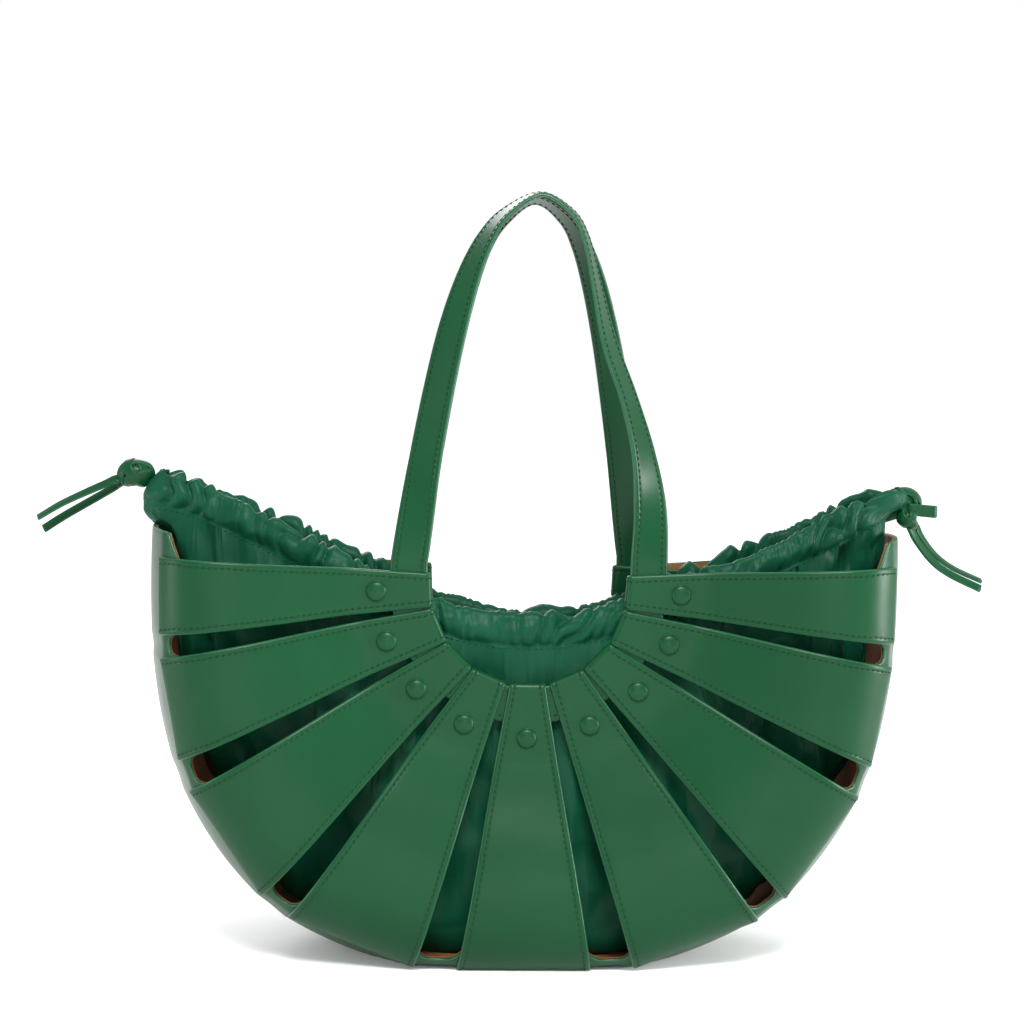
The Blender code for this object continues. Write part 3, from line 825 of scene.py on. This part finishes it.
def half_section(x, side):
    """Rows of (depth, height) from the casing's inner edge to the bottom, for each x."""
    swell = np.maximum(0.0, 1 - (np.abs(x) / POUCH_HALF) ** 3.2) ** 0.55
    lift = 0.0
    if side < 0:
        lift = REAR_LIFT * np.exp(-((x + 0.075) / 0.05) ** 2)
        lift = lift - REAR_DROP * np.exp(-((x - 0.03) / 0.07) ** 2)
    rim, low = pouch_rim(x) + lift, pouch_bottom(x)
    mouth = 0.0015 + (MOUTH_DEPTH - 0.0015) * swell
    seam = rim - CASING
    rows = []
    for t in np.linspace(0, 1, CASING_ROWS[0], endpoint=False):
        rows.append((mouth - 2 * HEM_RADIUS * swell, seam + (CASING - HEM_RADIUS) * t))
    for t in np.linspace(0, pi, CASING_ROWS[1], endpoint=False):
        rows.append((mouth - HEM_RADIUS * swell * (1 + cos(t)), rim - HEM_RADIUS * (1 - sin(t))))
    for t in np.linspace(0, 1, CASING_ROWS[2], endpoint=False):
        rows.append((mouth + (CASING_PUFF * sin(pi * t) - 0.0012 * t ** 3) * swell,
                     rim - HEM_RADIUS - (CASING - HEM_RADIUS) * t))
    for t in np.linspace(0, 1, BODY_ROWS):
        z = seam - (seam - low) * np.sin(pi / 2 * t) ** 0.80
        open_up = mouth + (pouch_room(x, z) * swell - mouth) * smooth((seam - z) / 0.045)
        open_up = np.maximum(open_up, 0.0015)
        rows.append((open_up * max(cos(pi / 2 * t), 0.0) ** 0.27, z))
    return rows


def crumple(along, down, seed, scales):
    """Ridged folds: (folds per metre along, per metre down, height) for each scale."""
    height = np.zeros(along.shape)
    for k, (fine, long, size) in enumerate(scales):
        spots = np.stack([along * fine, down * long, np.full(along.shape, seed + 7.3 * k)], -1)
        flat = [noise.noise(Vector(p)) for p in spots.reshape(-1, 3)]
        ridge = 1 - 2.6 * np.abs(np.array(flat).reshape(along.shape))
        height += size * ridge
    return height


def soft_noise(along, down, seed):
    spots = np.stack([along, down, np.full(along.shape, seed)], -1).reshape(-1, 3)
    return np.array([noise.noise(Vector(p)) for p in spots]).reshape(along.shape)


def pleat_wave(along, down, seed):
    """Gathers of uneven width, height and lean: round crests and tight valleys."""
    lean = 1.5 * soft_noise(along * 19, down * 38, seed + 1)
    warp = 2.2 * soft_noise(along * 15, down * 0, seed) + 1.3 * soft_noise(along * 43, down * 0, seed)
    size = 0.66 + 1.8 * soft_noise(along * 27, down * 16, seed + 2)
    phase = along / PLEAT_PITCH + warp + lean
    crowd = np.gradient(phase, axis=0) / np.gradient(along, axis=0) * PLEAT_PITCH
    size = np.clip(size, 0.05, 1.4) / np.maximum(1, np.abs(crowd)) ** 1.2
    wave = 1.8 * np.abs(np.sin(pi * phase)) ** 0.7 - 1.1
    second = 1.5 * np.abs(np.sin(pi * (along / (0.41 * PLEAT_PITCH) + 2.6 * warp - lean))) - 0.9
    return wave * size + 0.20 * second * np.clip(1.2 - size, 0.2, 1)


def pouch_grid(columns):
    """The gathered pouch's outer surface, (columns + 1, rows, 3)."""
    u = np.linspace(0, 1, columns + 1)
    x = -POUCH_HALF * np.cos(pi * (0.72 * u + 0.14)) / cos(0.14 * pi)
    halves, casing_rows = [], sum(CASING_ROWS)
    for side in (1, -1):
        rows = half_section(x, side)
        depth = np.stack([r[0] + 0 * x for r in rows], 1)
        height = np.stack([r[1] + 0 * x for r in rows], 1)
        grid = np.stack([x[:, None] + 0 * depth, -side * depth, height], -1)
        rim_line = grid[:, casing_rows - 1]
        along = np.concatenate([[0], np.cumsum(np.linalg.norm(np.diff(rim_line, axis=0), axis=1))])
        down = np.concatenate([np.zeros((len(x), 1)),
                               np.cumsum(np.linalg.norm(np.diff(grid, axis=1), axis=2), axis=1)], 1)
        below = down - down[:, casing_rows - 1:casing_rows]
        along = along[:, None] + 0 * down
        normals = grid_normals(grid)
        if normals[len(x) // 2, casing_rows + 4, 1] * -side < 0:
            normals = -normals
        swing = 0.006 * crumple(along, down, 3.1 * side, ((9, 14, 1.0),))
        fine = pleat_wave(along + swing, down, 11.0 * side)
        drawn = along + 0.55 * np.sign(x)[:, None] * np.maximum(below, 0)
        coarse = crumple(drawn + swing, down * 0.5, 31.0 * side, ((19, 12, 1.0), (41, 14, 0.45)))
        fade_fine = np.where(below < 0, 1.0, 0.50 * np.exp(-np.maximum(below, 0) / 0.008))
        fade_coarse = np.where(below < 0, 0.45, np.exp(-np.maximum(below - 0.01, 0) / 0.060))
        pinch = 1 - 0.45 * np.exp(-(below / 0.0022) ** 2)
        bunched = crumple(along + 0.6 * down, down, 17.0 * side, ((52, 60, 0.0011), (95, 75, 0.0005)))
        shape = (PLEAT_HEIGHT * fine * fade_fine * pinch + 0.0032 * coarse * fade_coarse
                 + bunched * np.exp(-np.maximum(below, 0) / 0.010)
                 + (crumple(along, down, 5.0 * side, BODY_CRUMPLES) - BODY_SINK)
                 * np.clip(0.15 + below / 0.05, 0.15, 1))
        ends = np.clip((POUCH_HALF - np.abs(x)) / 0.012, 0.15, 1)[:, None]
        floor = np.clip((height - 0.006) / 0.02, 0.1, 1)
        grid = grid + normals * (shape * ends * floor)[..., None]
        rise = fine + 1.3 * soft_noise(along * 26, down * 0, 41.0 * side)
        grid[..., 2] += RIM_RIPPLE * rise * np.clip(-below / 0.012, 0, 1) * ends
        halves.append(grid)
    front, rear = halves
    grid = np.concatenate([front, rear[:, -2::-1]], 1)
    return tip_puff(settle(grid))


def settle(grid):
    """Keeps the cloth behind the straps and above the gusset."""
    x, z = grid[..., 0], grid[..., 2]
    limit = pouch_room(x, z) + 0.0006
    grid[..., 1] = np.where(np.abs(grid[..., 1]) > limit,
                            np.sign(grid[..., 1]) * limit, grid[..., 1])
    lowest = pouch_bottom(x) - 0.0020
    grid[..., 2] = np.maximum(z, np.maximum(lowest, 0.0042))
    return grid


def tip_puff(grid):
    """The gathered ends swell out past the gusset's tips."""
    near = smooth((np.abs(grid[..., 0]) - (POUCH_HALF - 0.024)) / 0.024)
    casing = np.exp(-np.abs((grid[..., 2] - 0.2895) / 0.0085) ** 3)
    below = np.exp(-((grid[..., 2] - 0.2755) / 0.0100) ** 2)
    left = grid[..., 0] < 0
    reach = np.where(left, 0.0080 * casing + 0.0115 * below, 0.0140 * casing)
    grid[..., 0] += np.sign(grid[..., 0]) * reach * near
    return grid


def relax(grid):
    """Cloth simulation: the cut is a little larger than the shape, so it buckles."""
    n, m = grid.shape[:2]
    i, j = np.meshgrid(np.arange(n - 1), np.arange(m - 1), indexing="ij")
    a = i * m + j
    faces = np.stack([a, a + m, a + m + 1, a + 1], -1).reshape(-1, 4)
    mesh = bpy.data.meshes.new("pouch_cloth_sim")
    mesh.from_pydata(grid.reshape(-1, 3).tolist(), [], faces.tolist())
    ob = bpy.data.objects.new("pouch_cloth_sim", mesh)
    bpy.context.scene.collection.objects.link(ob)
    held = ob.vertex_groups.new(name="held")
    casing = sum(CASING_ROWS) + 1
    rows = np.arange(n * m) % m
    columns = np.arange(n * m) // m
    fixed = (rows < casing) | (rows >= m - casing) | (columns < 3) | (columns >= n - 3)
    held.add(np.nonzero(fixed)[0].tolist(), 1.0, "REPLACE")
    cloth = ob.modifiers.new("Cloth", "CLOTH")
    setup = cloth.settings
    setup.quality = 6
    setup.mass = 0.15
    setup.tension_stiffness = setup.compression_stiffness = 22
    setup.shear_stiffness = 6
    setup.bending_stiffness = 0.25
    setup.effector_weights.gravity = 0
    setup.shrink_min = setup.shrink_max = -SLACK
    setup.vertex_group_mass = "held"
    cloth.collision_settings.use_collision = False
    cloth.point_cache.frame_start = 1
    cloth.point_cache.frame_end = SIM_FRAMES
    for frame_number in range(1, SIM_FRAMES + 1):
        bpy.context.scene.frame_set(frame_number)
    result = ob.evaluated_get(bpy.context.evaluated_depsgraph_get())
    moved = np.empty(n * m * 3)
    result.data.vertices.foreach_get("co", moved)
    bpy.data.objects.remove(ob)
    bpy.context.scene.frame_set(1)
    step = moved.reshape(n, m, 3) - grid
    size = np.linalg.norm(step, axis=-1, keepdims=True)
    return grid + step * np.minimum(1, SIM_CAP / np.maximum(size, 1e-9))


def make_pouch():
    grid = pouch_grid(POUCH_COLUMNS)
    grid = settle(relax(grid))
    normals = grid_normals(grid)
    if normals[POUCH_COLUMNS // 2, sum(CASING_ROWS) + 5, 1] > 0:
        normals = -normals
    mesh = Mesh()
    mesh.thick_sheet(grid, grid - normals * CLOTH_THICKNESS, (0, 0, 0), rounds=1)
    seam = sum(CASING_ROWS)
    for row in (seam, grid.shape[1] - 1 - seam):
        mesh.stitches(grid[4:-4, row] - normals[4:-4, row] * 0.0001, normals[4:-4, row], 0)
    pouch = outward(mesh.build("pouch_cloth_bag", [CLOTH]))
    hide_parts("pouch")
    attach(pouch, "cage")


# ------------------------------------------------------------------------------- laces

def lace(mesh, centres, faces_to, width=LACE_WIDTH, thick=LACE_THICKNESS, closed=False):
    """A flat leather lace along centres, its broad face turned to faces_to."""
    centres = np.asarray(centres, float)
    ahead = unit(np.gradient(centres, axis=0))
    if closed:
        ahead = unit(np.roll(centres, -1, 0) - np.roll(centres, 1, 0))
    up = unit(faces_to - (faces_to * ahead).sum(-1, keepdims=True) * ahead)
    across = np.cross(ahead, up)
    turns = 2 * pi * np.arange(20) / 20
    wide = np.sign(np.cos(turns)) * np.abs(np.cos(turns)) ** 0.40 * width / 2
    high = np.sign(np.sin(turns)) * np.abs(np.sin(turns)) ** 0.55 * thick / 2
    rings = (centres[:, None] + across[:, None] * wide[None, :, None]
             + up[:, None] * high[None, :, None])
    n = len(centres)
    start = mesh.add_points(rings)
    rows = n if closed else n - 1
    i, j = np.meshgrid(np.arange(rows), np.arange(20), indexing="ij")
    a, b = i * 20, (i + 1) % n * 20
    quads = np.stack([a + j, a + (j + 1) % 20, b + (j + 1) % 20, b + j], -1).reshape(-1, 4)
    edge = np.abs(np.cos(turns + pi / 20)) > 0.93
    for k in range(20):
        mesh.add_faces(quads.reshape(rows, 20, 4)[:, k] + start, 1 if edge[k] else 0)
    if not closed:
        mesh.add_faces([start + np.arange(20)[::-1], start + (n - 1) * 20 + np.arange(20)], 1)


def finish_lace(mesh, name, body, *nodes):
    piece = outward(mesh.build(name, [LEATHER, EDGE]))
    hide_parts(*nodes)
    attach(piece, body)
    return piece


def wraps(mesh, centre, size, axes, width):
    """Turns of lace lying over each other on a knot drawn tight, with a lump inside."""
    size = np.array(size)
    t = np.linspace(0, 2 * pi, 48, endpoint=False)[:, None]
    for k, axis in enumerate(axes):
        axis = unit(np.array(axis))
        first = unit(np.cross(axis, (0.3, -0.4, 0.9)))
        away = np.cos(t) * first + np.sin(t) * np.cross(axis, first)
        away = unit(away + axis * 0.22 * np.sin(2 * t + k))
        lace(mesh, centre + away * (size - 0.0004 * k), away, width=width, thick=0.0026,
             closed=True)
    turns = np.linspace(-0.98, 0.98, 15)
    lump = np.array([[x, 0, 0] for x in turns]) * size[0] * 0.82
    rounds = 2 * pi * np.arange(24) / 24
    girth = np.sqrt(1 - turns ** 2)[:, None] * 0.88
    rings = np.stack([lump[:, :1] + 0 * rounds, girth * np.cos(rounds) * size[1],
                      girth * np.sin(rounds) * size[2]], -1) + centre
    start = mesh.add_points(rings)
    i, j = np.meshgrid(np.arange(14), np.arange(24), indexing="ij")
    a, b = i * 24 + j, i * 24 + (j + 1) % 24
    mesh.add_faces(np.stack([a, b, b + 24, a + 24], -1).reshape(-1, 4) + start, 0)
    mesh.add_faces([start + np.arange(24)[::-1], start + 14 * 24 + np.arange(24)], 0)


def make_left_knot():
    centre = np.array(LEFT_KNOT)
    mesh = Mesh()
    wraps(mesh, centre, (0.0118, 0.0078, 0.0082),
          ((0.95, 0.1, 0.45), (0.55, -0.75, -0.5), (-0.5, -0.6, 0.75), (1.0, 0.35, -0.25)), 0.0062)
    join_tails(mesh, centre, "left")
    return finish_lace(mesh, "left_knot_lace", "left_drawstring", "left_lace_knot")


def join_tails(mesh, centre, where):
    """Short stretches of lace from inside the knot to the start of each tail."""
    for which in ("upper", "lower"):
        first, second = (np.array(p) for p in TAIL_ROUTES[f"{where}_lace_tail_{which}"][:2])
        end = first + (second - first) * 0.15
        path = spline([centre + (first - centre) * 0.2, (centre + first) / 2, end], 10)
        lace(mesh, path, np.tile([0.25, -0.62, 0.75], (11, 1)), width=LACE_WIDTH + 0.0002,
             thick=LACE_THICKNESS + 0.0002)


def ring(centre, radius, across, up, start=0, end=2 * pi, count=48):
    """Points on an arc in the plane of two directions, and their outward directions."""
    t = np.linspace(start, end, count)[:, None]
    away = np.cos(t) * np.array(across) + np.sin(t) * np.array(up)
    return np.array(centre) + away * radius, away


def make_right_knot():
    mesh = Mesh()
    wraps(mesh, np.array(RIGHT_RING), (0.0100, 0.0050, 0.0082),
          ((0.2, 1.0, 0.3), (0.5, -0.8, 0.5), (-0.5, -0.7, -0.5)), 0.0060)
    wraps(mesh, np.array(RIGHT_LOW_KNOT), (0.0066, 0.0058, 0.0058),
          ((0.75, -0.5, 0.5), (0.8, 0.2, -0.6)), 0.0056)
    start, end = np.array(RIGHT_BIGHT[0]), np.array(RIGHT_BIGHT[1])
    half = np.array([0, 0.0021, 0])
    turn, out = ring(end, 0.0021, (0, -1, 0), (1, 0, 0), 0, pi, 14)
    runs = [start - half + (end - start) * t for t in np.linspace(0, 1, 8)[:-1]]
    back = [start + half + (end - start) * t for t in np.linspace(1, 0, 8)[1:]]
    centres = np.array(runs + list(turn) + back)
    faces_to = np.array([[0, -1, 0]] * 7 + list(out) + [[0, 1, 0]] * 7, float)
    lace(mesh, centres, faces_to, width=0.0078, thick=0.0023)
    body = np.linspace(0, 1, 9)[:, None] * np.array([0.0085, 0.0, -0.0090])
    lace(mesh, np.array([0.2395, 0.0, 0.2865]) + body, np.tile([0.2, -1.0, 0.2], (9, 1)),
         width=0.0095, thick=0.0070)
    join_tails(mesh, np.array([0.2455, 0.0, 0.2790]), "right")
    return finish_lace(mesh, "right_knot_lace", "right_drawstring", "right_lace_knot")


def make_laces():
    knots = {"left": make_left_knot(), "right": make_right_knot()}
    for where, sign, knot, size in (("left", -1, LEFT_KNOT, LEFT_KNOT_SIZE),
                                    ("right", 1, RIGHT_KNOT, RIGHT_KNOT_SIZE)):
        along = np.array([-sign * cos(PULL_RISE), 0, -sin(PULL_RISE)])
        run = np.linspace(size[0] * 0.4, size[0] + SHANK_LENGTH, 16)[:, None]
        mesh = Mesh()
        lace(mesh, np.array(knot) + run * along, np.tile([0.0, -1.0, 0.3], (16, 1)),
             width=0.0050, thick=0.0030)
        shank = finish_lace(mesh, where + "_drawn_lace", where + "_drawstring", where + "_lace")
        for which, turned in (("upper", 1), ("lower", -1)):
            name = f"{where}_lace_tail_{which}"
            path = spline(TAIL_ROUTES[name], 36)
            t = np.linspace(0, 1, 37)[:, None]
            faces_to = np.array([0.25, -0.62, 0.75]) + t * np.array([0, 0.30 * turned, 0.1])
            mesh = Mesh()
            lace(mesh, path, faces_to)
            tail = finish_lace(mesh, name + "_strip", where + "_drawstring", name)


# ------------------------------------------------------------------- floor and light

SOFTBOXES = (                  # name, place, width and height, watts
    ("key_softbox", (0.10, -1.35, 1.72), (0.7, 0.5), 54),
    ("front_softbox", (0.12, -2.30, 0.52), (0.60, 0.50), 5),
    ("right_softbox", (1.95, -0.45, 0.38), (0.45, 1.2), 58),
    ("left_softbox", (-1.95, -0.60, 0.40), (0.40, 1.0), 13),
    ("back_softbox", (-0.60, 1.90, 1.40), (1.2, 0.8), 19))


def add_floor():
    bpy.ops.mesh.primitive_plane_add(size=60)
    floor = bpy.context.object
    floor.name = "floor"
    floor.data.materials.append(floor_material())


def add_light(name, place, size, power, target=(0, 0, 0.2)):
    data = bpy.data.lights.new(name, "AREA")
    data.shape = "RECTANGLE"
    data.size, data.size_y = size
    data.energy = power
    light = bpy.data.objects.new(name, data)
    bpy.context.scene.collection.objects.link(light)
    light.location = place
    light.rotation_euler = (Vector(place) - Vector(target)).to_track_quat("Z", "Y").to_euler()


def add_lighting():
    world = bpy.data.worlds.new("studio")
    bpy.context.scene.world = world
    world.use_nodes = True
    background = world.node_tree.nodes["Background"]
    background.inputs["Color"].default_value = (1, 1, 1, 1)
    background.inputs["Strength"].default_value = WORLD_LIGHT
    for box in SOFTBOXES:
        add_light(*box)
    bpy.context.scene.view_settings.view_transform = "Standard"


add_camera()
make_laces()
make_gusset()
for side, where, arch in ((1, "front", FRONT_ARCH), (-1, "rear", REAR_ARCH)):
    for index in range(STRAP_COUNT):
        make_strap(index, side, where)
        make_stud(index, side, where)
    make_handle(where, arch, side)
make_pouch()
add_floor()
add_lighting()
